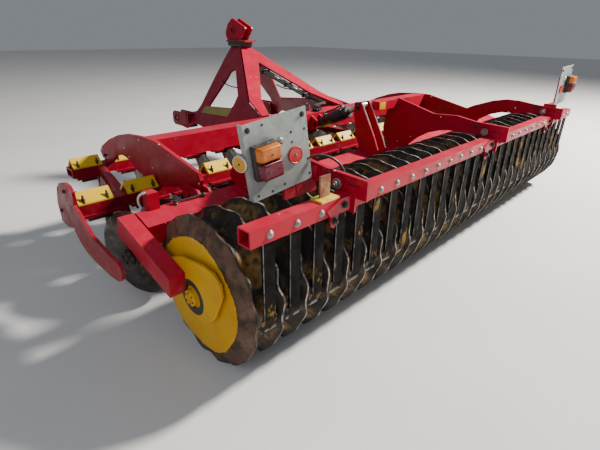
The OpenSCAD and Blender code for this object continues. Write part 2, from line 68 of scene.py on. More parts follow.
# ------------------------------------------------------------------ materials
class Mat:
    """A small helper that builds one node material."""

    def __init__(self, name):
        self.m = bpy.data.materials.new(name)
        self.m.use_nodes = True
        self.t = self.m.node_tree
        self.b = self.t.nodes["Principled BSDF"]
        self.co = self.t.nodes.new("ShaderNodeTexCoord").outputs["Object"]
        self.geo = self.t.nodes.new("ShaderNodeNewGeometry")

    def put(self, socket, value):
        if isinstance(value, bpy.types.NodeSocket):
            self.t.links.new(value, socket)
        elif isinstance(value, tuple) and len(value) == 3 and socket.type == "RGBA":
            socket.default_value = value + (1.0,)
        else:
            socket.default_value = value

    def noise(self, scale, detail=3.0, rough=0.55, co=None, dist=0.0):
        n = self.t.nodes.new("ShaderNodeTexNoise")
        n.inputs["Scale"].default_value = scale
        n.inputs["Detail"].default_value = detail
        n.inputs["Roughness"].default_value = rough
        n.inputs["Distortion"].default_value = dist
        self.t.links.new(co or self.co, n.inputs["Vector"])
        return n.outputs["Fac"]

    def voro(self, scale, feature="F1", out="Distance", co=None):
        n = self.t.nodes.new("ShaderNodeTexVoronoi")
        n.feature = feature
        n.inputs["Scale"].default_value = scale
        self.t.links.new(co or self.co, n.inputs["Vector"])
        return n.outputs[out]

    def stretch(self, sx, sy, sz):
        n = self.t.nodes.new("ShaderNodeMapping")
        n.inputs["Scale"].default_value = (sx, sy, sz)
        self.t.links.new(self.co, n.inputs["Vector"])
        return n.outputs["Vector"]

    def remap(self, fac, lo, hi, a=0.0, b=1.0):
        n = self.t.nodes.new("ShaderNodeMapRange")
        n.interpolation_type = "SMOOTHSTEP"
        n.inputs["From Min"].default_value = lo
        n.inputs["From Max"].default_value = hi
        n.inputs["To Min"].default_value = a
        n.inputs["To Max"].default_value = b
        self.t.links.new(fac, n.inputs["Value"])
        return n.outputs["Result"]

    def math(self, op, a, b=None, clamp=False):
        n = self.t.nodes.new("ShaderNodeMath")
        n.operation = op
        n.use_clamp = clamp
        self.put(n.inputs[0], a)
        if b is not None:
            self.put(n.inputs[1], b)
        return n.outputs[0]

    def mix(self, fac, a, b):
        n = self.t.nodes.new("ShaderNodeMix")
        n.data_type = "RGBA"
        ins = [s for s in n.inputs if s.type == "RGBA"]
        self.put(n.inputs[0], fac)
        self.put(ins[0], a)
        self.put(ins[1], b)
        return [s for s in n.outputs if s.type == "RGBA"][0]

    def xyz(self, vec):
        n = self.t.nodes.new("ShaderNodeSeparateXYZ")
        self.t.links.new(vec, n.inputs[0])
        return n.outputs

    def vec(self, op, a, b=None):
        n = self.t.nodes.new("ShaderNodeVectorMath")
        n.operation = op
        self.put(n.inputs[0], a)
        if b is not None:
            self.put(n.inputs[1], b)
        return n.outputs["Value"] if op in ("LENGTH", "DOT_PRODUCT") else n.outputs["Vector"]

    def bump(self, height, strength=0.3, distance=0.002):
        n = self.t.nodes.new("ShaderNodeBump")
        n.inputs["Strength"].default_value = strength
        n.inputs["Distance"].default_value = distance
        self.t.links.new(height, n.inputs["Height"])
        self.t.links.new(n.outputs["Normal"], self.b.inputs["Normal"])

    def out(self, color, rough, metal=0.0, spec=0.5, coat=0.0):
        self.put(self.b.inputs["Base Color"], color)
        self.put(self.b.inputs["Roughness"], rough)
        self.put(self.b.inputs["Metallic"], metal)
        self.b.inputs["Specular IOR Level"].default_value = spec
        if coat:
            self.b.inputs["Coat Weight"].default_value = coat
            self.b.inputs["Coat Roughness"].default_value = 0.25
        return self.m


DUST = (0.50, 0.42, 0.33)
SOIL = (0.30, 0.17, 0.045)


def paint(name, base, faded_and_lit, deep, dust_amount=0.5, chips=0.62, mud_top=0.42, rough=0.34, chip_col=(0.62, 0.55, 0.50), chip_scale=26.0, chip_r=0.075):
    """Machine paint: paler where it looks up, partly sun-faded paint and partly painted top light, dusty there too,
    chipped, with dried soil low down.
    """
    k = Mat(name)
    tone = k.noise(2.4, 4)
    c = k.mix(k.remap(tone, 0.3, 0.7), deep, base)
    nz = k.xyz(k.geo.outputs["Normal"])[2]
    # upward faces turn toward the paler faded colour: partly sun-fading, partly painted top light
    top_fade_and_light_mask = k.remap(nz, 0.25, 0.95)
    top_fade_and_light = k.math("MULTIPLY", top_fade_and_light_mask, k.remap(k.noise(9, 5, 0.6), 0.25, 0.75, 0.45, 1.0))
    c = k.mix(k.math("MULTIPLY", top_fade_and_light, 0.45), c, faded_and_lit)
    dustn = k.remap(k.noise(34, 6, 0.7), 0.42, 0.78)
    c = k.mix(k.math("MULTIPLY", k.math("MULTIPLY", dustn, k.remap(nz, -0.2, 0.9, 0.25, 1.0)), dust_amount), c, DUST)
    # scuffs run along the metal
    scuff = k.remap(k.noise(18, 3, 0.5, k.stretch(1.0, 1.0, 5.0)), 0.66, 0.74)
    c = k.mix(k.math("MULTIPLY", scuff, 0.22), c, faded_and_lit)
    # stone chips
    chip = k.math("MULTIPLY", k.remap(k.voro(chip_scale), chip_r * 1.13, chip_r * 0.87), k.remap(k.noise(5.5, 2), chips, chips + 0.03))
    c = k.mix(chip, c, chip_col)
    # rust bleeding and dried soil
    rust = k.math("MULTIPLY", k.remap(k.noise(7.5, 6, 0.72), 0.63, 0.70), k.remap(k.noise(60, 3), 0.40, 0.60))
    c = k.mix(k.math("MULTIPLY", rust, 0.7), c, (0.13, 0.045, 0.02))
    z = k.xyz(k.co)[2]
    low = k.math("MULTIPLY", k.remap(z, mud_top, mud_top - 0.22), k.remap(k.noise(16, 5, 0.6), 0.42, 0.56))
    c = k.mix(k.math("MULTIPLY", low, 0.85), c, k.mix(k.noise(40, 3), (0.16, 0.10, 0.05), (0.34, 0.24, 0.13)))
    r = k.remap(k.noise(12, 5), 0.3, 0.7, rough - 0.06, rough + 0.16)
    r = k.math("ADD", r, k.math("MULTIPLY", low, 0.35), clamp=True)
    k.bump(k.math("ADD", k.noise(120, 4, 0.6), k.math("MULTIPLY", k.noise(18, 2), 1.6)), 0.10, 0.0015)
    return k.out(c, r, 0.0, 0.22)


RED = paint("red_paint", (0.42, 0.0008, 0.022), (0.60, 0.016, 0.060), (0.29, 0.0006, 0.015), 0.06)
RED_CHIP = paint("red_paint_chipped", (0.36, 0.0008, 0.020), (0.54, 0.018, 0.056), (0.25, 0.0006, 0.014), 0.08, 0.50, chip_col=(0.85, 0.75, 0.70), chip_scale=17.0, chip_r=0.085)
# darker copy of the red paint for the disc beams, arms, ears and limiters low under the frame: painted shade
RED_LOW_PAINTED_SHADE = paint("red_paint_low_painted_shade", (0.29, 0.0010, 0.015), (0.44, 0.016, 0.042), (0.17, 0.0008, 0.010), 0.10, mud_top=0.40)
# darker copy of the red paint for the headstock plates, whose faces sit in shade: painted shade
RED_PAINTED_SHADE = paint("red_paint_painted_shade", (0.27, 0.0008, 0.020), (0.48, 0.018, 0.056), (0.18, 0.0006, 0.014), 0.07)
# pale pink rim paint for the bevelled edges: worn paint and painted highlight
RED_RIM_WORN_AND_LIT = paint("red_paint_rim_worn_and_lit", (0.56, 0.060, 0.075), (0.78, 0.42, 0.40), (0.40, 0.010, 0.025), 0.06, mud_top=0.36)
YEL_CLAMP = paint("yellow_clamp", (0.78, 0.50, 0.006), (0.84, 0.60, 0.030), (0.62, 0.36, 0.006), 0.12, chip_col=(0.20, 0.12, 0.06), mud_top=0.30)
YEL_PLATE = paint("yellow_plate", (0.66, 0.35, 0.001), (0.72, 0.43, 0.006), (0.50, 0.23, 0.001), 0.10, chip_col=(0.16, 0.08, 0.03), mud_top=0.12)


def bracket_paint():
    """Red bracket paint; the upright on the left end of the scraper beam is worn brown and its foot is yellow."""
    k = Mat("bracket_paint")
    x, y, z = k.xyz(k.co)
    red = k.mix(k.remap(k.noise(5, 4), 0.3, 0.7), (0.32, 0.0008, 0.017), (0.48, 0.006, 0.034))
    brown = k.mix(k.remap(k.noise(22, 5, 0.65), 0.35, 0.65), (0.20, 0.055, 0.030), (0.36, 0.22, 0.09))
    yel = k.mix(k.remap(k.noise(26, 5, 0.65), 0.35, 0.65), (0.55, 0.36, 0.02), (0.78, 0.60, 0.10))
    left = k.math("MULTIPLY", k.remap(x, -1.325, -1.335), k.remap(y, AXLE_Y - 0.20, AXLE_Y - 0.22))
    c = k.mix(left, red, k.mix(k.remap(z, 0.7035, 0.7005), brown, yel))
    c = k.mix(k.math("MULTIPLY", k.remap(k.noise(34, 6, 0.7), 0.5, 0.8), 0.25), c, DUST)
    k.bump(k.noise(110, 4, 0.6), 0.12, 0.0012)
    return k.out(c, k.remap(k.noise(14, 4), 0.3, 0.7, 0.34, 0.55), 0.0, 0.3)


BRACKET = bracket_paint()
# olive stands for the yellow strip seen in shade: painted shade
YELLOW_STRIP_PAINTED_SHADE = paint("yellow_strip_painted_shade", (0.30, 0.26, 0.050), (0.42, 0.36, 0.10), (0.20, 0.17, 0.035), 0.30)


def steel(name, dark, light, rough=0.42, metal=0.75, rust=0.5, scale=10.0):
    k = Mat(name)
    c = k.mix(k.remap(k.noise(scale, 6, 0.65), 0.34, 0.66), dark, light)
    rustm = k.remap(k.noise(scale * 1.7, 6, 0.7), 0.56, 0.66)
    c = k.mix(k.math("MULTIPLY", rustm, rust), c, (0.15, 0.062, 0.026))
    soil = k.remap(k.noise(scale * 0.8, 5, 0.62, k.stretch(1, 1, 1.7)), 0.60, 0.66)
    c = k.mix(k.math("MULTIPLY", soil, rust), c, SOIL)
    r = k.remap(k.noise(scale * 3, 4), 0.3, 0.7, rough - 0.12, rough + 0.18)
    m = k.remap(rustm, 0.0, 1.0, metal, metal * 0.3)
    k.bump(k.noise(scale * 14, 5, 0.65), 0.25, 0.0012)
    return k.out(c, r, m)


DISC = steel("disc_steel", (0.035, 0.030, 0.028), (0.10, 0.085, 0.075), 0.40, 0.6, 0.55, 9.0)
DARK = steel("dark_bolt", (0.030, 0.026, 0.024), (0.085, 0.072, 0.062), 0.45, 0.6, 0.4, 30.0)
ZINC = steel("zinc_bolt", (0.24, 0.225, 0.21), (0.44, 0.415, 0.39), 0.40, 0.8, 0.18, 40.0)
GREY = steel("grey_fitting", (0.20, 0.19, 0.18), (0.36, 0.34, 0.32), 0.42, 0.7, 0.25, 30.0)


def scraper_steel():
    k = Mat("scraper_steel")
    _, y, z = k.xyz(k.co)
    # near-black base: the bars' dark steel, darkened further as painted shade
    c = k.mix(k.remap(k.noise(11, 6, 0.65), 0.35, 0.65), (0.0030, 0.0028, 0.0030), (0.011, 0.009, 0.008))
    c = k.mix(k.math("MULTIPLY", k.remap(k.noise(13, 5, 0.6, k.stretch(1, 1, 0.5)), 0.61, 0.67), 0.7), c, (0.27, 0.15, 0.03))
    tip = k.math("MULTIPLY", k.remap(z, 0.285, 0.258), k.remap(k.noise(30, 4), 0.38, 0.55))
    c = k.mix(tip, c, (0.30, 0.27, 0.24))
    # the left-facing sides of the bars, at the rear edge and upper part, are painted pale: painted highlight
    nx = k.xyz(k.geo.outputs["Normal"])[0]
    rim = k.math("MAXIMUM", k.remap(y, AXLE_Y - 0.3085, AXLE_Y - 0.3100), k.remap(z, 0.320, 0.314))
    painted_side_highlight = k.math("MULTIPLY", k.math("MULTIPLY", k.remap(nx, -0.80, -0.97), rim), k.remap(k.noise(19, 4), 0.38, 0.56, 0.20, 0.9))
    c = k.mix(painted_side_highlight, c, (0.36, 0.33, 0.30))
    k.bump(k.noise(150, 4, 0.6), 0.2, 0.001)
    return k.out(c, k.remap(k.noise(25, 3), 0.3, 0.7, 0.55, 0.80), 0.0, 0.06)


SCRAPER = scraper_steel()


def roller_steel():
    """Dark worn rings: pale crest, partly worn bright steel and partly painted highlight, near black flank, ochre soil
    in the groove; the outer cones are brown.
    """
    k = Mat("roller_steel")
    rel = k.vec("SUBTRACT", k.co, (0.0, AXLE_Y, 0.318))
    rad = k.vec("LENGTH", k.vec("MULTIPLY", rel, (0.0, 1.0, 1.0)))
    x = k.xyz(k.co)[0]
    flank = k.mix(k.remap(k.noise(9, 6, 0.66), 0.36, 0.64), (0.006, 0.0055, 0.006), (0.028, 0.021, 0.017))
    soilm = k.math("MULTIPLY", k.remap(k.noise(7.0, 5, 0.6), 0.47, 0.56), k.remap(k.noise(34, 4, 0.6), 0.30, 0.62))
    soil = k.mix(k.noise(28, 4), (0.32, 0.17, 0.024), (0.10, 0.055, 0.020))
    c = k.mix(k.math("MULTIPLY", soilm, k.remap(rad, 0.312, 0.285)), flank, soil)
    cone = k.remap(k.math("ABSOLUTE", x), 1.7505, 1.7525)
    brown = k.mix(k.remap(k.noise(14, 6, 0.7), 0.34, 0.66), (0.034, 0.020, 0.014), (0.125, 0.062, 0.036))
    c = k.mix(cone, c, brown)
    # the outermost band of each crest is painted pale: worn bright steel and painted highlight
    crest_wear_and_highlight = k.math("MULTIPLY", k.remap(rad, 0.3162, 0.3171), k.remap(k.noise(26, 5, 0.65), 0.42, 0.60, 0.06, 1.0))
    c = k.mix(crest_wear_and_highlight, c, (0.27, 0.225, 0.180))
    r = k.remap(k.noise(20, 5), 0.3, 0.7, 0.42, 0.68)
    k.bump(k.math("ADD", k.noise(90, 5, 0.65), k.math("MULTIPLY", soilm, 1.5)), 0.35, 0.002)
    return k.out(c, r, k.remap(soilm, 0.0, 1.0, 0.25, 0.0), 0.35)


ROLLER = roller_steel()


def galvanised():
    k = Mat("galvanised")
    sp = k.voro(70, out="Color")
    spx = k.xyz(sp)[0]
    c = k.mix(spx, (0.25, 0.285, 0.272), (0.33, 0.365, 0.348))
    c = k.mix(k.remap(k.noise(6, 5, 0.6), 0.4, 0.75), c, (0.39, 0.41, 0.39))
    stain = k.remap(k.noise(10, 6, 0.7, k.stretch(1, 1, 0.35)), 0.60, 0.72)
    c = k.mix(k.math("MULTIPLY", stain, 0.45), c, (0.30, 0.27, 0.22))
    k.bump(k.noise(60, 3), 0.06, 0.001)
    return k.out(c, k.remap(k.noise(15, 4), 0.3, 0.7, 0.42, 0.62), 0.35)


GALV = galvanised()


def lens(name, a, b, ribs=130.0):
    k = Mat(name)
    w = k.t.nodes.new("ShaderNodeTexWave")
    w.bands_direction = "X"
    w.inputs["Scale"].default_value = ribs
    w.inputs["Distortion"].default_value = 0.4
    k.t.links.new(k.co, w.inputs["Vector"])
    c = k.mix(k.remap(k.noise(22, 4), 0.3, 0.7), a, b)
    c = k.mix(k.math("MULTIPLY", k.remap(k.noise(45, 5, 0.7), 0.5, 0.75), 0.08), c, DUST)
    k.bump(w.outputs["Fac"], 0.22, 0.0015)
    return k.out(c, k.remap(k.noise(30, 3), 0.3, 0.7, 0.16, 0.32), 0.0, 0.4, 0.12)


AMBER = lens("amber_lens", (0.40, 0.075, 0.0006), (0.60, 0.17, 0.002))
REDLENS = lens("red_lens", (0.075, 0.0012, 0.010), (0.16, 0.0025, 0.020))
REFLECT = lens("red_reflector", (0.48, 0.001, 0.004), (0.62, 0.003, 0.010), 210.0)
SIDEREF = lens("amber_reflector", (0.58, 0.25, 0.001), (0.70, 0.34, 0.003), 210.0)


def plastic(name, a, b, rough=0.45, scale=18.0, dust=0.35):
    k = Mat(name)
    c = k.mix(k.remap(k.noise(scale, 5, 0.6), 0.3, 0.7), a, b)
    nz = k.xyz(k.geo.outputs["Normal"])[2]
    d = k.math("MULTIPLY", k.remap(nz, 0.0, 0.9), k.remap(k.noise(scale * 3, 5, 0.7), 0.40, 0.72))
    c = k.mix(k.math("MULTIPLY", d, dust), c, DUST)
    k.bump(k.noise(scale * 12, 4), 0.12, 0.0008)
    return k.out(c, k.remap(k.noise(scale * 2, 4), 0.3, 0.7, rough - 0.1, rough + 0.12))


BLACK = plastic("black_plastic", (0.010, 0.010, 0.011), (0.030, 0.029, 0.028))
RUBBER = plastic("hose_rubber", (0.005, 0.005, 0.005), (0.018, 0.017, 0.016), 0.55, 30, 0.08)
BARREL = plastic("black_cylinder", (0.006, 0.006, 0.008), (0.020, 0.019, 0.021), 0.36, 14, 0.10)
# pale pink edge colour for the lever's rear edges: worn paint and painted highlight
EDGE_WORN_AND_LIT = plastic("pale_edge_worn_and_lit", (0.50, 0.33, 0.31), (0.70, 0.56, 0.52), 0.4, 25)
WHITE = plastic("white_rim", (0.62, 0.61, 0.57), (0.74, 0.73, 0.68), 0.4, 25)
ROD = steel("chromed_rod", (0.55, 0.55, 0.55), (0.72, 0.72, 0.72), 0.20, 1.0, 0.08, 20.0)


def dress(node, m):
    ob = NODES[node]
    ob.data.materials.clear()
    ob.data.materials.append(m)


def basis(axis):
    a = Vector(axis).normalized()
    h = Vector((0, 0, 1)) if abs(a.z) < 0.9 else Vector((1, 0, 0))
    u = a.cross(h).normalized()
    v = a.cross(u).normalized()
    return a, u, v


def lathe(bm, origin, axis, prof, seg=24, mi=0, phase=0.0, smooth=True):
    """Closed turned shape: prof is (distance along the axis, radius); a radius of 0 closes it to a point."""
    a, u, v = basis(axis)
    o = Vector(origin)
    rings = []
    for t, r in prof:
        if r <= 1e-9:
            rings.append([bm.verts.new(o + a * t)])
        else:
            rings.append([bm.verts.new(o + a * t + (u * math.cos(phase + 2 * math.pi * i / seg) + v * math.sin(phase + 2 * math.pi * i / seg)) * r) for i in range(seg)])
    faces = []
    for p, q in zip(rings[:-1], rings[1:]):
        for i in range(seg):
            j = (i + 1) % seg
            if len(p) == 1 and len(q) == 1:
                continue
            if len(p) == 1:
                faces.append(bm.faces.new((p[0], q[i], q[j])))
            elif len(q) == 1:
                faces.append(bm.faces.new((p[j], p[i], q[0])))
            else:
                faces.append(bm.faces.new((p[j], p[i], q[i], q[j])))
    if len(rings[0]) > 1:
        faces.append(bm.faces.new(rings[0]))
    if len(rings[-1]) > 1:
        faces.append(bm.faces.new(list(reversed(rings[-1]))))
    for f in faces:
        f.material_index = mi
        f.smooth = smooth
    return faces


def dome(bm, o, axis, r, h, mi=0, seg=20):
    n = 6
    lathe(bm, o, axis, [(0.0, r * 1.0)] + [(h * math.sin(math.pi / 2 * i / n), r * math.cos(math.pi / 2 * i / n) if i < n else 0.0) for i in range(1, n + 1)], seg, mi)


def washer(bm, o, axis, r, h, mi=0, seg=24):
    b = min(h, r) * 0.35
    lathe(bm, o, axis, [(0.0, r), (h - b, r), (h, r - b), (h, 0.0)], seg, mi)


def hexnut(bm, o, axis, r, h, mi=0, phase=0.0, stub=0.0):
    """Washer, hexagon with chamfered corners and, if stub is given, the bolt end above it."""
    a = Vector(axis).normalized()
    o = Vector(o)
    washer(bm, o, a, r * 1.35, r * 0.22, mi)
    lathe(bm, o + a * r * 0.22, a, [(0.0, r), (h * 0.82, r), (h, r * 0.86), (h, 0.0)], 6, mi, phase, smooth=False)
    if stub:
        lathe(bm, o + a * (r * 0.22 + h), a, [(-0.001, r * 0.55), (stub * 0.85, r * 0.55), (stub, r * 0.42), (stub, 0.0)], 14, mi)


def obox(bm, c, ax, ay, az, size, bevel=0.002, mi=0, segs=2):
    """A box with rounded edges, centred at c, its sides along the three given directions."""
    M = Matrix.Identity(4)
    for i, d in enumerate((ax, ay, az)):
        d = Vector(d).normalized() * size[i]
        M[0][i], M[1][i], M[2][i] = d.x, d.y, d.z
    M[0][3], M[1][3], M[2][3] = c[0], c[1], c[2]
    before = set(bm.faces)
    r = bmesh.ops.create_cube(bm, size=1.0, matrix=M)
    vs = r["verts"]
    es = list({e for v in vs for e in v.link_edges})
    fs = list({f for v in vs for f in v.link_faces})
    if M.determinant() < 0:
        bmesh.ops.reverse_faces(bm, faces=fs)
    if bevel:
        bmesh.ops.bevel(bm, geom=es, offset=bevel, segments=segs, profile=0.6, affect="EDGES", clamp_overlap=True)
    for f in [f for f in bm.faces if f not in before]:
        f.material_index = mi
        f.smooth = False


def smooth_path(pts, n=8):
    pts = [Vector(p) for p in pts]
    ext = [pts[0] * 2 - pts[1]] + pts + [pts[-1] * 2 - pts[-2]]
    out = []
    for i in range(1, len(ext) - 2):
        p0, p1, p2, p3 = ext[i - 1], ext[i], ext[i + 1], ext[i + 2]
        for s in range(n):
            t = s / n
            out.append(0.5 * ((2 * p1) + (p2 - p0) * t + (2 * p0 - 5 * p1 + 4 * p2 - p3) * t * t + (3 * p1 - p0 - 3 * p2 + p3) * t ** 3))
    out.append(pts[-1])
    return out


def tube(bm, pts, r, seg=10, mi=0, n=8):
    """A round hose through the points, with closed ends."""
    path = smooth_path(pts, n)
    t0 = (path[1] - path[0]).normalized()
    _, u, v = basis(t0)
    rings = []
    prev = t0
    for i, p in enumerate(path):
        t = (path[min(i + 1, len(path) - 1)] - path[max(i - 1, 0)]).normalized()
        q = prev.rotation_difference(t)
        u = q @ u
        v = q @ v
        prev = t
        rings.append([bm.verts.new(p + (u * math.cos(2 * math.pi * k / seg) + v * math.sin(2 * math.pi * k / seg)) * r) for k in range(seg)])
    fs = []
    for a, b in zip(rings[:-1], rings[1:]):
        for k in range(seg):
            j = (k + 1) % seg
            fs.append(bm.faces.new((a[k], a[j], b[j], b[k])))
    fs.append(bm.faces.new(list(reversed(rings[0]))))
    fs.append(bm.faces.new(rings[-1]))
    for f in fs:
        f.material_index = mi
        f.smooth = True


def finish_piece(name, bm, mats, body, replaces=(), sharp=40):
    bmesh.ops.recalc_face_normals(bm, faces=bm.faces[:])
    me = bpy.data.meshes.new(name)
    bm.to_mesh(me)
    bm.free()
    for m in mats:
        me.materials.append(m)
    ob = bpy.data.objects.new(name, me)
    scene.collection.objects.link(ob)
    me.set_sharp_from_angle(angle=math.radians(sharp))
    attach(ob, body)
    if replaces:
        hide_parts(*replaces)
    return ob


# ------------------------------------------------------------------ CAD nodes keep their shape and get their finish
for n in ("main_cross_tube", "left_side_plate", "right_side_plate", "top_link_clevis", "headstock_braces", "roller_front_tube", "roller_side_arms",
          "scraper_beam", "outer_arch_arms", "centre_arch_arm", "lever_plates", "cylinder_lugs", "light_brackets"):
    dress(n, RED)
# the headstock plates get the darker red copy as painted shade
for n in ("left_headstock_plate", "right_headstock_plate"):
    dress(n, RED_PAINTED_SHADE)
# the low parts under the frame get the darker red copy as painted shade
for n in ("front_disc_beam", "rear_disc_beam", "beam_spacers", "lower_link_ears", "front_disc_arms", "rear_disc_arms", "side_limiters"):
    dress(n, RED_LOW_PAINTED_SHADE)
for n in ("left_side_plate", "right_side_plate", "outer_arch_arms", "centre_arch_arm"):
    dress(n, RED_CHIP)
dress("light_brackets", BRACKET)
dress("disc_clamps", YEL_CLAMP)
dress("bearing_brackets", YEL_PLATE)
dress("scrapers", SCRAPER)
dress("light_boards", GALV)
dress("lamps", REDLENS)
dress("hydraulic_hoses", RUBBER)
dress("packer_roller", ROLLER)
dress("depth_cylinder", BARREL)
dress("depth_rod", ROD)
for i in range(1, 15):
    dress("front_disc_%02d" % i, DISC)
    dress("rear_disc_%02d" % i, DISC)

# ------------------------------------------------------------------ packer roller: rings with wavy crests
RING_R, GROOVE_R, HALF, RINGS = 0.318, 0.252, 1.750, 29
AX = Vector((0.0, AXLE_Y, RING_R))


def roller():
    seg, waves = 180, 15
    th = np.arange(seg) * 2 * math.pi / seg
    prof = [(-0.0625, 0.2530, 0.0), (-0.045, 0.2560, 0.10), (-0.030, 0.2690, 0.35), (-0.017, 0.2900, 0.68), (-0.0075, 0.3090, 0.95),
            (-0.0040, 0.3172, 1.0), (0.0040, 0.3172, 1.0), (0.0075, 0.3090, 0.95), (0.017, 0.2900, 0.68), (0.030, 0.2690, 0.35), (0.045, 0.2560, 0.10)]
    rows = []

    def row(x, r, amp, ph, jitter=0.0):
        xx = x + amp * 0.0095 * np.sin(waves * th + ph) * (1.0 + 0.25 * np.sin(3 * th + ph * 1.7))
        rr = r + jitter * (0.6 * np.sin(7 * th + 3.1 * ph) + 0.4 * np.sin(19 * th + 1.3 * ph))
        return np.stack([xx, np.cos(th) * rr + AXLE_Y, np.sin(th) * rr + RING_R], 1)

    rows.append(row(-HALF - 0.0325, 0.2440, 0, 0))
    rows.append(row(-HALF - 0.0290, 0.2540, 0, 0))
    for k in range(RINGS):
        x0, ph = -HALF + 0.125 * k, 0.42 * k
        for j, (dx, r, amp) in enumerate(prof):
            if k == 0 and dx < -0.0301:
                continue
            if k == 0 and dx < -0.0076:
                f = (dx + 0.030) / 0.0225
                rows.append(row(-HALF - 0.027 + f * 0.0195, 0.262 + f * 0.044, 0.25 + 0.6 * f, ph))
                continue
            if k == RINGS - 1 and dx > 0.0076:
                continue
            low = 0.0030 if abs(dx) < 0.008 and k in (0, RINGS - 1) else 0.0
            rr = row(x0 + dx, r - low, amp * (0.6 if k in (0, RINGS - 1) else 1.0), ph, 0.0011 if abs(dx) > 0.04 else 0.0)
            if low:
                s = r - 0.0018 + 0.0009 * np.sin(waves * th + ph) + 0.0006 * np.sin(5 * th + 1.1)
                rr[:, 1] = np.cos(th) * s + AXLE_Y
                rr[:, 2] = np.sin(th) * s + RING_R
            rows.append(rr)
    ph = 0.42 * (RINGS - 1)
    for f in (0.8, 0.4, 0.0):
        rows.append(row(HALF + 0.027 - f * 0.0195, 0.262 + f * 0.044, 0.25 + 0.6 * f, ph))
    rows.append(row(HALF + 0.0290, 0.2540, 0, 0))
    rows.append(row(HALF + 0.0325, 0.2440, 0, 0))
    verts = np.concatenate(rows)
    faces = []
    R = len(rows)
    for i in range(R - 1):
        a, b = i * seg, (i + 1) * seg
        for j in range(seg):
            q = (j + 1) % seg
            faces.append((a + j, a + q, b + q, b + j))
    faces.append(tuple(range(seg - 1, -1, -1)))
    faces.append(tuple((R - 1) * seg + j for j in range(seg)))
    bm = bmesh.new()
    me = bpy.data.meshes.new("tmp_roller")
    me.from_pydata(verts.tolist(), [], faces)
    bm.from_mesh(me)
    bpy.data.meshes.remove(me)
    for f in bm.faces:
        f.smooth = True
    # turned hub and stub at each end
    for s in (-1, 1):
        o = Vector((s * 1.7820, AXLE_Y, RING_R))
        lathe(bm, o, (s, 0, 0), [(0.0, 0.052), (0.004, 0.052), (0.006, 0.0455), (0.0215, 0.0455), (0.0225, 0.034), (0.040, 0.034), (0.043, 0.031),
                                 (0.043, 0.018), (0.036, 0.016), (0.036, 0.0)], 40, 1)
        for q in range(6):
            a = 2 * math.pi * q / 6 + 0.4
            c = Vector((s * 1.8245, AXLE_Y + 0.024 * math.cos(a), RING_R + 0.024 * math.sin(a)))
            lathe(bm, c, (s, 0, 0), [(0, 0.0045), (0.0022, 0.0045), (0.003, 0.003), (0.003, 0)], 8, 2)
    return finish_piece("roller_rings", bm, [ROLLER, YEL_PLATE, DARK], "roller", ("packer_roller",), 34)


roller()


def end_plates():
    """Yellow end plates of the drum: their paint edge is ragged where soil has worn it away."""
    bm = bmesh.new()
    seg = 168
    for s in (-1, 1):
        rag = [0.2415 + 0.0045 * math.sin(5 * t * 2 * math.pi / seg + s) + 0.0030 * (rnd.random() - 0.5) + (0.0038 if rnd.random() < 0.28 else 0.0) for t in range(seg)]
        rings = []
        for x, f in ((1.7830, 1.0), (1.7846, 1.0), (1.7852, 0.985), (1.7856, 0.93), (1.7850, 0.60), (1.7846, 0.30), (1.7846, 0.22)):
            rings.append([bm.verts.new((s * x, AXLE_Y + math.cos(2 * math.pi * t / seg) * r * f, RING_R + math.sin(2 * math.pi * t / seg) * r * f)) for t, r in enumerate(rag)])
        fs = []
        for a, b in zip(rings[:-1], rings[1:]):
            for t in range(seg):
                q = (t + 1) % seg
                fs.append(bm.faces.new((a[t], a[q], b[q], b[t])))
        fs.append(bm.faces.new(rings[0]))
        fs.append(bm.faces.new(rings[-1]))
        for f in fs:
            f.smooth = True
    return finish_piece("roller_end_plates", bm, [YEL_PLATE], "roller", (), 40)


end_plates()


# the ring seal is a plain annulus, so it is made as a closed band
def annulus(bm, o, axis, r0, r1, h, seg=44, mi=0, b=0.0015):
    a, u, v = basis(axis)
    o = Vector(o)
    prof = [(0.0, r0), (0.0, r1), (h - b, r1), (h, r1 - b), (h, r0 + b), (h - b, r0)]
    rings = [[bm.verts.new(o + a * t + (u * math.cos(2 * math.pi * i / seg) + v * math.sin(2 * math.pi * i / seg)) * r) for i in range(seg)] for t, r in prof]
    for k in range(len(rings)):
        p, q = rings[k], rings[(k + 1) % len(rings)]
        for i in range(seg):
            j = (i + 1) % seg
            f = bm.faces.new((p[i], p[j], q[j], q[i]))
            f.material_index = mi
            f.smooth = True


def bearing_piece():
    bm = bmesh.new()
    for s in (-1, 1):
        annulus(bm, Vector((s * 1.8036, AXLE_Y, RING_R)), (s, 0, 0), 0.0490, 0.0745, 0.0070, 48, 1)
        for y, z, r in ((106, 376, 13), (191, 393, 12)):
            hexnut(bm, P(s * 1811, y, z), (s, 0, 0), r / 1000, 0.010, 0, 0.3)
        pts = [(215, 440), (158, 430), (100, 455), (52, 474), (-79, 492), (-152, 488), (-190, 458), (-196, 407), (-170, 350), (-140, 290), (-110, 258), (-60, 234), (0, 228), (60, 234), (105, 258), (135, 300)]
        tube(bm, [P(s * 1808.6, y * 0.985, 318 + (z - 318) * 0.985) for y, z in pts], 0.0034, 8, 2, 5)
    return finish_piece("bearing_details", bm, [DARK, BLACK, YEL_PLATE], "roller_frame")


bearing_piece()


# ------------------------------------------------------------------ bolts of the scraper beam
def scraper_bolts():
    bm = bmesh.new()
    for n in range(28):
        x = -1687.5 + 125 * n
        washer(bm, P(x, -320, 657), (0, -1, 0), 0.0145, 0.002, 0)
        dome(bm, P(x, -321.8, 657), (0, -1, 0), 0.0118, 0.0085, 0)
        # nut on the front face of each scraper bar
        hexnut(bm, P(x, -258, 660), (0, 1, 0), 0.011, 0.009, 1, rnd.random())
    return finish_piece("scraper_bolts", bm, [ZINC, DARK], "roller_frame")


scraper_bolts()


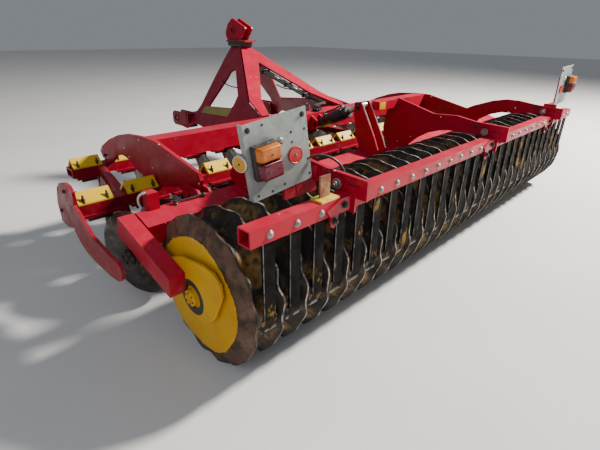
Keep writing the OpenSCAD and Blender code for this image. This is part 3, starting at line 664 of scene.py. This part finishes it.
# ------------------------------------------------------------------ clamp bolts on both disc beams
def clamp_bolts():
    bm = bmesh.new()
    sl = math.atan2(50, 52)
    for base, by in ((-1605, 1525), (-1808, 893)):
        for k in range(14):
            ax = base + 250 * k
            for sx in (-1, 1):
                for sy in (-1, 1):
                    x, y = ax + sx * 58, by + sy * 41
                    if abs(abs(x) - 1450) < 26 or (by == 1525 and 535 < abs(x) < 660):
                        continue
                    z = 478 + (52 - 41) * math.tan(sl) - 9.0
                    hexnut(bm, P(x, y, z), (0, 0, 1), 0.0095, 0.020, 0, rnd.random() * 2, 0.016)
            # ends of the rubber blocks that the clamp squeezes, seen under the roof
            for sy in (-1, 1):
                obox(bm, P(ax, by + sy * 50, 391.5), (1, 0, 0), (0, 1, 0), (0, 0, 1), (0.110, 0.014, 0.018), 0.003, 1)
    return finish_piece("clamp_bolts", bm, [DARK, BLACK], "main_frame")


clamp_bolts()


# ------------------------------------------------------------------ discs: hub bolts on each side
def disc_bolts():
    for row, name, x0, y0 in ((-1, "front_disc", -1.590, 1275), (1, "rear_disc", -1.762, 645)):
        a = math.radians(row * 18)
        # the cap faces left in both rows, away from the arm
        d = Vector((-math.cos(a), -row * math.sin(a), 0.0))
        face = 0.0215 if row < 0 else 0.0235
        for k in range(14):
            c = Vector((x0 + 0.25 * k, y0 / 1000 + AXLE_Y, 0.225))
            bm = bmesh.new()
            _, u, v = basis(d)
            for q in range(5):
                an = 2 * math.pi * q / 5 + 0.3 * k
                p = c + (u * math.cos(an) + v * math.sin(an)) * 0.031 + d * face
                hexnut(bm, p, d, 0.0065, 0.006, 0, q)
            dome(bm, c + d * face, d, 0.016, 0.008, 0, 16)
            finish_piece("%s_bolts_%02d" % (name, k + 1), bm, [DARK], "%s_%02d_body" % (name, k + 1))


disc_bolts()


# ------------------------------------------------------------------ light boards
def board(side):
    """Matrix from the board's own millimetres to the row frame."""
    tl = P(-1624, -110, 966) if side < 0 else P(-1672, -275, 1048)
    ry, rz = (math.radians(-8.5), math.radians(-5.6)) if side < 0 else (math.radians(2.0), 0.0)
    M = Matrix.Translation(tl) @ Matrix.Rotation(rz, 4, "Z") @ Matrix.Rotation(ry, 4, "Y") @ Matrix.Scale(0.001, 4)
    if side > 0:
        M = Matrix.Scale(-1, 4, Vector((1, 0, 0))) @ M
    return M


def lights():
    for side, tag in ((-1, "left"), (1, "right")):
        M = board(side)
        bm = bmesh.new()
        # lamp: black base, amber upper lens, red lower lens, each chamfered
        def block(x0, x1, y0, y1, z0, z1, inset, mi, rim=5.0):
            before = set(bm.faces)
            r = bmesh.ops.create_cube(bm, size=1.0)
            vs = r["verts"]
            for v in vs:
                fx, fy, fz = v.co.x + 0.5, v.co.y + 0.5, v.co.z + 0.5
                i = inset * (1 - fy)
                v.co = Vector((x0 + i + fx * (x1 - x0 - 2 * i), y0 + fy * (y1 - y0), z0 + i * 0.5 + fz * (z1 - z0 - i)))
            es = list({e for v in vs for e in v.link_edges})
            bmesh.ops.bevel(bm, geom=es, offset=rim, segments=4, profile=0.6, affect="EDGES", clamp_overlap=True)
            for f in [f for f in bm.faces if f not in before]:
                f.material_index = mi
        block(16, 124, -26, 0, -209, -78, 0, 0)
        block(20, 121, -58, -22, -137, -82, 7, 1, 8.0)
        block(20, 121, -58, -22, -206, -137.5, 7, 2, 11.0)
        block(17, 123, -40, -24, -140.5, -134.5, 0, 0)
        # two screws through the lens
        for x, z in ((46, -171), (96, -171), (70, -112)):
            lathe(bm, (x, -57.5, z), (0, -1, 0), [(0, 4.0), (1.2, 4.0), (1.8, 3.0), (1.8, 0)], 12, 0)
        # red round reflector with a rim
        lathe(bm, (212, 0, -170), (0, -1, 0), [(0, 34.0), (6.0, 34.0), (7.8, 32.5), (8.0, 30.0), (6.6, 28.5), (7.2, 12.0), (7.2, 7.0), (8.0, 6.0), (8.0, 0.0)], 40, 3)
        lathe(bm, (212, -7.2, -170), (0, -1, 0), [(0, 4.2), (2.4, 4.2), (3.4, 2.8), (3.4, 0)], 14, 4)
        # amber side reflector on its tab, with a pale rim
        ro, ra = Vector((-11.0, 31.0, -140.0)), Vector((-1.0, -0.30, 0.0)).normalized()
        lathe(bm, ro, ra, [(-14.0, 9.0), (-1.0, 9.0), (0, 31.5), (5.5, 31.5), (7.5, 30.5), (7.8, 28.5), (6.8, 27.9)], 40, 5)
        lathe(bm, ro + ra * 6.0, ra, [(0, 27.7), (1.6, 27.7), (2.0, 26.5), (2.0, 0)], 40, 6)
        lathe(bm, ro + ra * 7.9, ra, [(0, 3.8), (1.4, 3.8), (2.0, 2.6), (2.0, 0)], 12, 0)
        for f in bm.faces:
            f.smooth = True
        bm.transform(M)
        if side > 0:
            bmesh.ops.reverse_faces(bm, faces=bm.faces[:])
        finish_piece("%s_lamps" % tag, bm, [BLACK, AMBER, REDLENS, REFLECT, ZINC, WHITE, SIDEREF], "roller_frame",
                     ("lamps",) if side < 0 else (), 38)
        bm = bmesh.new()
        # punched holes along the edges, shown as dark plugs that stand for the holes' shaded insides (painted shade); a
        # dome bolt and two corner fixings
        for x, z in ((83, -19), (269, -83), (205, -79), (205, -117), (274, -204), (276, -266), (149, -268), (89, -276), (24, -272)):
            lathe(bm, (x, 0.3, z), (0, -1, 0), [(0, 5.2), (1.0, 5.2), (1.3, 4.6), (1.3, 0)], 14, 0)
        for x, z in ((20, -23), (264, -27)):
            lathe(bm, (x, 0, z), (0, -1, 0), [(0, 10.5), (2.0, 10.5), (2.4, 7.0), (7.0, 6.0), (8.0, 4.0), (8.0, 0)], 16, 0)
            lathe(bm, (x, 4, z), (0, 1, 0), [(0, 9.5), (6.0, 9.5), (7.0, 8.0), (7.0, 0)], 6, 0)
        lathe(bm, (151, 0, -97), (0, -1, 0), [(0, 15.0), (3.0, 14.4), (6.9, 10.5), (9.3, 5.4), (9.9, 0)], 22, 1)
        # lead from the back of the lamp
        tube(bm, [(60, 4, -150), (60, 22, -160), (90, 34, -200), (150, 38, -240), (200, 30, -262), (238, 14, -280)], 4.0, 8, 0, 6)
        # folded hems that stiffen the sheet
        for z in (-5, -285):
            obox(bm, (142, 6.5, z), (1, 0, 0), (0, 1, 0), (0, 0, 1), (274, 5.0, 7.0), 1.2, 2)
        for f in bm.faces:
            f.smooth = True
        bm.transform(M)
        if side > 0:
            bmesh.ops.reverse_faces(bm, faces=bm.faces[:])
        finish_piece("%s_board_fixings" % tag, bm, [BLACK, ZINC, GALV], "roller_frame", (), 38)


lights()


# ------------------------------------------------------------------ arches, clasps, beam ends
def arm_bolts():
    bm = bmesh.new()
    for x in (-1250, 140, 1240):
        for s in (-1, 1):
            o = P(x + s * 30, -256, 718)
            washer(bm, o, (s, 0, 0), 0.0225, 0.003, 0)
            hexnut(bm, o + Vector((s * 0.003, 0, 0)), (s, 0, 0), 0.0150, 0.011, 0, 0.2, 0.006)
            # slotted adjusting hole plate behind the bolt
            lathe(bm, P(x + s * 10, -318, 722), (s, 0, 0), [(0, 0.0075), (0.0012, 0.0075), (0.0016, 0.0065), (0.0016, 0)], 14, 1)
            # darker round pin further up the arm
            washer(bm, P(x + s * 10, -196, 742), (s, 0, 0), 0.0115, 0.004, 1)
        # lug bolt and clasp bolts on the rear face
        hexnut(bm, P(x - 123, -328, 611), (0, -1, 0), 0.0120, 0.009, 2, 0.4, 0.005)
        hexnut(bm, P(x - 66, -328, 661), (0, -1, 0), 0.0120, 0.009, 2, 0.1, 0.005)
        hexnut(bm, P(x + 52, -328, 661), (0, -1, 0), 0.0120, 0.009, 2, 0.8, 0.005)
        # weld beads where the arm stands on the front tube
        for s in (-1, 1):
            a, b = Vector(P(x + s * 10, 410, 539)), Vector(P(x + s * 10, 318, 508))
            tube(bm, [a.lerp(b, f / 6) + Vector((s * 0.001, 0, 0.001 * math.sin(3.0 * f))) for f in range(7)], 0.0042, 7, 3, 3)
    return finish_piece("arm_bolts", bm, [GREY, BLACK, DARK, RED], "roller_frame")


arm_bolts()


def frame_details():
    """Bolts, bushes, seams and small fittings on the main frame."""
    bm = bmesh.new()
    # top link: dark bush collars, small holes shown as dark plugs that stand for their shaded insides (painted shade),
    # a dark saddle below the ears as painted shade
    for s in (-1, 1):
        annulus(bm, P(s * 50.0, 1990, 1262), (s, 0, 0), 0.0170, 0.0250, 0.0035, 30, 1)
        for y, z in ((1905, 1262), (1850, 1282), (2052, 1250), (1990, 1325), (1988, 1205)):
            lathe(bm, P(s * 44.0, y, z), (s, 0, 0), [(-0.0005, 0.0078), (0.0012, 0.0078), (0.0016, 0.0068), (0.0016, 0)], 14, 3)
    # dark box that wraps the head, standing for the clevis base seen in shade: painted shade
    obox(bm, P(0, 1945, 1160), (1, 0, 0), (0, 1, 0), (0, 0, 1), (0.130, 0.200, 0.054), 0.018, 1, 4)
    # lower link bushes
    for s in (-1, 1):
        for e in (-46, 46):
            annulus(bm, P(s * 482 + e, 2240, 540), (1 if e > 0 else -1, 0, 0), 0.0192, 0.0300, 0.004, 30, 0)
    # bolts through the side plates at the front beam
    for sx in (-1, 1):
        for s in (-1, 1):
            for y, z in ((1552, 505),):
                hexnut(bm, P(sx * 1450 + s * 10, y, z), (s, 0, 0), 0.0090, 0.008, 0, rnd.random(), 0.004)
    # weld beads along the headstock plates' feet on the front beam and at the side plates on both beams
    for s in (-1, 1):
        tube(bm, [P(s * (619 + (1525 - y) * 0.13 + 13), y, 473) for y in range(1478, 1573, 12)], 0.0045, 7, 2, 3)
        for e in (-1, 1):
            tube(bm, [P(s * (1450) + e * 11.5, y, 473) for y in range(850, 941, 13)], 0.0042, 7, 2, 3)
            tube(bm, [P(s * (1450) + e * 11.5, y, 473) for y in range(1485, 1572, 12)], 0.0042, 7, 2, 3)
    # a hitch pin storage ring and a shackle on the main tube
    tube(bm, [P(-118 + 26 * math.cos(a), 1012 + 8 * math.sin(2 * a), 742 + 26 * math.sin(a)) for a in [i * 2 * math.pi / 12 for i in range(13)]], 0.0045, 8, 0, 4)
    obox(bm, P(-118, 1006, 722), (1, 0, 0), (0, 1, 0), (0, 0, 1), (0.030, 0.024, 0.016), 0.003, 0)
    return finish_piece("frame_details", bm, [DARK, BLACK, RED, BLACK], "main_frame")


frame_details()


def limiter_bolts():
    bm = bmesh.new()
    for s in (-1, 1):
        for y, z in ((985, 420), (880, 548), (830, 452)):
            hexnut(bm, P(s * 1933, y, z), (s, 0, 0), 0.0085, 0.007, 0, 0.3)
        hexnut(bm, P(s * 1917, 960, 480), (-s, 0, 0), 0.013, 0.010, 0, 0.3, 0.008)
    return finish_piece("limiter_bolts", bm, [DARK], "main_frame")


limiter_bolts()


# ------------------------------------------------------------------ hoses, leads and clips held on the frame
def headstock_hoses():
    bm = bmesh.new()
    # bundle held inside the right leg, beside the two CAD hoses
    A, B = (-12, 1690, 976), (260, 1351, 746)
    for dx, dz, r in ((12, -15, 0.0095), (-14, -9, 0.0085), (36, -14, 0.0085)):
        tube(bm, [P(A[0] + dx, 1742, 1011 + dz), P(A[0] + dx, A[1], A[2] + dz), P(56 + dx, 1605, 918 + dz), P(124 + dx, 1520, 861 + dz), P(192 + dx, 1436, 803 + dz),
                  P(B[0] + dx, B[1], B[2] + dz), P(246 + dx * 0.7, 1270, 738 + dz), P(190 + dx, 1130, 730 + dz * 0.8), P(46 + dx, 1066, 736), P(-30 + dx * 0.5, 1006, 741), P(-78 + dx * 0.3, 944, 739)], r, 10, 0, 6)
    # grey couplings and clips on the bundle
    dirn = (P(*B) - P(*A)).normalized()
    for f, dx, dz in ((0.30, 0, 0), (0.34, 26, 0), (0.66, 0, 0), (0.70, 26, 0), (0.50, 12, -15)):
        c = P(*A).lerp(P(*B), f) + Vector((dx / 1000, 0, dz / 1000))
        lathe(bm, c, dirn, [(0, 0.0115), (0.006, 0.0142), (0.040, 0.0142), (0.046, 0.0115), (0.046, 0.0)], 12, 1)
    for f in (0.12, 0.56, 0.92):
        obox(bm, P(*A).lerp(P(*B), f) + Vector((0.012, 0, -0.004)), (1, 0, 0), dirn, Vector((1, 0, 0)).cross(dirn), (0.074, 0.014, 0.046), 0.004, 0)
    # a thin lead across the left window and one down the leg
    tube(bm, [P(-300, 1830, 880), P(-262, 1810, 842), P(-205, 1760, 820), P(-150, 1700, 826)], 0.0045, 8, 0, 8)
    tube(bm, [P(150, 1650, 830), P(205, 1600, 800), P(262, 1540, 786)], 0.0050, 8, 0, 8)
    return finish_piece("headstock_hoses", bm, [RUBBER, GREY], "main_frame")


headstock_hoses()


def cylinder_fittings():
    bm = bmesh.new()
    base, pin = P(-150, 850, 645), P(-150, 475, 815)
    d = (pin - base).normalized()
    n = Vector((0, -d.z, d.y))
    if n.z < 0:
        n = -n
    for t in (0.075, 0.245):
        o = base + d * t + n * 0.034
        lathe(bm, o, n, [(0, 0.015), (0.012, 0.015), (0.014, 0.011), (0.022, 0.011), (0.022, 0)], 14, 0)
        lathe(bm, o + n * 0.020, n, [(0, 0.0115), (0.011, 0.0115), (0.012, 0.010), (0.012, 0)], 6, 0)
    lathe(bm, base + d * 0.062, d, [(0, 0.0355), (0.001, 0.0405), (0.004, 0.0425), (0.180, 0.0425), (0.184, 0.0405), (0.185, 0.0355)], 40, 1)
    # pipe along the barrel between the ports
    tube(bm, [base + d * 0.075 + n * 0.050, base + d * 0.10 + n * 0.056, base + d * 0.17 + n * 0.052, base + d * 0.225 + n * 0.056, base + d * 0.245 + n * 0.050], 0.0055, 8, 1, 6)
    # wiper ring and end cap ribs
    for t, r in ((0.268, 0.0415), (0.284, 0.0415), (0.036, 0.0372)):
        annulus(bm, base + d * t, d, r - 0.003, r, 0.006, 36, 1)
    return finish_piece("cylinder_fittings", bm, [GREY, BARREL], "cylinder_barrel")


cylinder_fittings()


def lever_details():
    bm = bmesh.new()
    for s in (-1, 1):
        hexnut(bm, P(-150 + s * 55, 475, 815), (s, 0, 0), 0.0150, 0.010, 0, 0.2)
    # pale rear edge of the lever: worn paint and painted highlight
    tube(bm, [P(-192, 449, 846), P(-192, 408, 775), P(-192, 366, 702)], 0.0030, 8, 1, 4)
    tube(bm, [P(-108, 449, 846), P(-108, 330, 640), P(-108, 292, 558)], 0.0038, 8, 1, 4)
    # plain yellow marker plate on the upper cross tube
    obox(bm, P(-66, 371.2, 818), (1, 0, 0), (0, 1, 0), (0, 0, 1), (0.068, 0.0022, 0.047), 0.0008, 2)
    return finish_piece("lever_details", bm, [DARK, EDGE_WORN_AND_LIT, YEL_PLATE], "roller_frame")


lever_details()


def beam_leads():
    """The black lead that loops from the left light along the scraper beam, and the pale pipe on the front tube."""
    bm = bmesh.new()
    tube(bm, [P(-1385, -108, 742), P(-1330, -128, 800), P(-1270, -168, 812), P(-1232, -210, 790), P(-1216, -236, 752), P(-1222, -246, 722)], 0.0052, 8, 0, 8)
    tube(bm, [P(-1742, 430, 612), P(-1752, 446, 606), P(-1760, 462, 588), P(-1760, 470, 560), P(-1752, 468, 532)], 0.0055, 8, 1, 6)
    # dark nipple and cover on the tube
    lathe(bm, P(-1620, 402, 538), (0, -0.32, 0.95), [(0, 0.011), (0.005, 0.011), (0.007, 0.007), (0.018, 0.006), (0.021, 0.0035), (0.021, 0)], 14, 2)
    tube(bm, [P(-1640, 408, 552), P(-1600, 404, 548), P(-1540, 400, 545), P(-1478, 402, 548)], 0.0042, 8, 0, 6)
    dome(bm, P(-1470, 402, 543), (0, -0.3, 1), 0.013, 0.013, 2)
    return finish_piece("beam_leads", bm, [RUBBER, WHITE, DARK], "roller_frame")


beam_leads()


def decals():
    """Plain, unmarked yellow strip on the left headstock plate, coloured olive as painted shade."""
    bm = bmesh.new()
    # plane of the left plate: x = -(52 + 0.8 (1122 - z) + 0.13 (1876 - y)) - outer face
    def q(y, z, off):
        x = -(52 + 0.8 * (1122 - z) + 0.13 * (1876 - y))
        nrm = Vector((-0.776, 0.101, 0.621)).normalized()
        return P(x, y, z) + nrm * off
    cs = [(1918, 663), (1514, 692), (1521, 637), (1938, 612)]
    lo = [bm.verts.new(q(y, z, 0.0078)) for y, z in cs]
    hi = [bm.verts.new(q(y, z, 0.0094)) for y, z in cs]
    bm.faces.new(lo)
    bm.faces.new(list(reversed(hi)))
    for i in range(4):
        j = (i + 1) % 4
        bm.faces.new((lo[i], hi[i], hi[j], lo[j]))
    return finish_piece("plain_strip", bm, [YELLOW_STRIP_PAINTED_SHADE], "main_frame")


decals()


# ------------------------------------------------------------------ softly broken edges on the plates and tubes
# the named nodes also show paler rims, partly worn paint and partly painted highlight along the edges, in metres of
# width
RIMMED_WORN_AND_LIT = {"scraper_beam": 0.0030, "outer_arch_arms": 0.0028, "centre_arch_arm": 0.0028, "left_side_plate": 0.0028, "right_side_plate": 0.0028,
          "left_headstock_plate": 0.0024, "right_headstock_plate": 0.0024, "headstock_braces": 0.0024, "roller_side_arms": 0.0026,
          "top_link_clevis": 0.0022, "lever_plates": 0.0024, "main_cross_tube": 0.0024}
for n in ("main_cross_tube", "front_disc_beam", "rear_disc_beam", "left_side_plate", "right_side_plate", "left_headstock_plate", "right_headstock_plate",
          "headstock_braces", "top_link_clevis", "disc_clamps", "side_limiters", "roller_front_tube", "roller_side_arms", "scraper_beam",
          "outer_arch_arms", "centre_arch_arm", "lever_plates", "light_brackets"):
    md = NODES[n].modifiers.new("broken_edges", "BEVEL")
    md.width = 0.0022
    md.segments = 2
    md.limit_method = "ANGLE"
    md.angle_limit = math.radians(35)
    md.harden_normals = False
    md.use_clamp_overlap = True
    if n in RIMMED_WORN_AND_LIT:
        NODES[n].data.materials.append(RED_RIM_WORN_AND_LIT)
        md.material = 1
        md.width = RIMMED_WORN_AND_LIT[n]


# ------------------------------------------------------------------ floor and light
def plane(name, size, z=0.0):
    me = bpy.data.meshes.new(name)
    s = size / 2
    me.from_pydata([(-s, -s, z), (s, -s, z), (s, s, z), (-s, s, z)], [], [(0, 1, 2, 3)])
    ob = bpy.data.objects.new(name, me)
    scene.collection.objects.link(ob)
    return ob


floor = plane("floor", 60.0, -0.0005)
fm = Mat("floor_mat")
fc = fm.mix(fm.remap(fm.noise(1.2, 4), 0.3, 0.7), (0.70, 0.69, 0.67), (0.74, 0.73, 0.71))
floor.data.materials.append(fm.out(fc, 0.85, 0.0, 0.3))

world = bpy.data.worlds.new("studio")
scene.world = world
world.use_nodes = True
world.node_tree.nodes["Background"].inputs["Color"].default_value = (0.80, 0.86, 0.95, 1)
world.node_tree.nodes["Background"].inputs["Strength"].default_value = 0.27


def area(name, loc, target, size, power, color=(1, 1, 1)):
    ld = bpy.data.lights.new(name, "AREA")
    ld.shape = "DISK"
    ld.size = size
    ld.energy = power
    ld.color = color
    lo = bpy.data.objects.new(name, ld)
    scene.collection.objects.link(lo)
    d = Vector(target) - Vector(loc)
    lo.location = loc
    lo.rotation_euler = d.to_track_quat("-Z", "Y").to_euler()
    return lo


area("key", (6.2, -3.6, 6.6), (0, -0.5, 0.3), 1.4, 2700, (1.0, 0.955, 0.89))
area("fill", (-6.0, -3.0, 4.0), (0, 0, 0.4), 5.0, 110, (0.85, 0.92, 1.0))
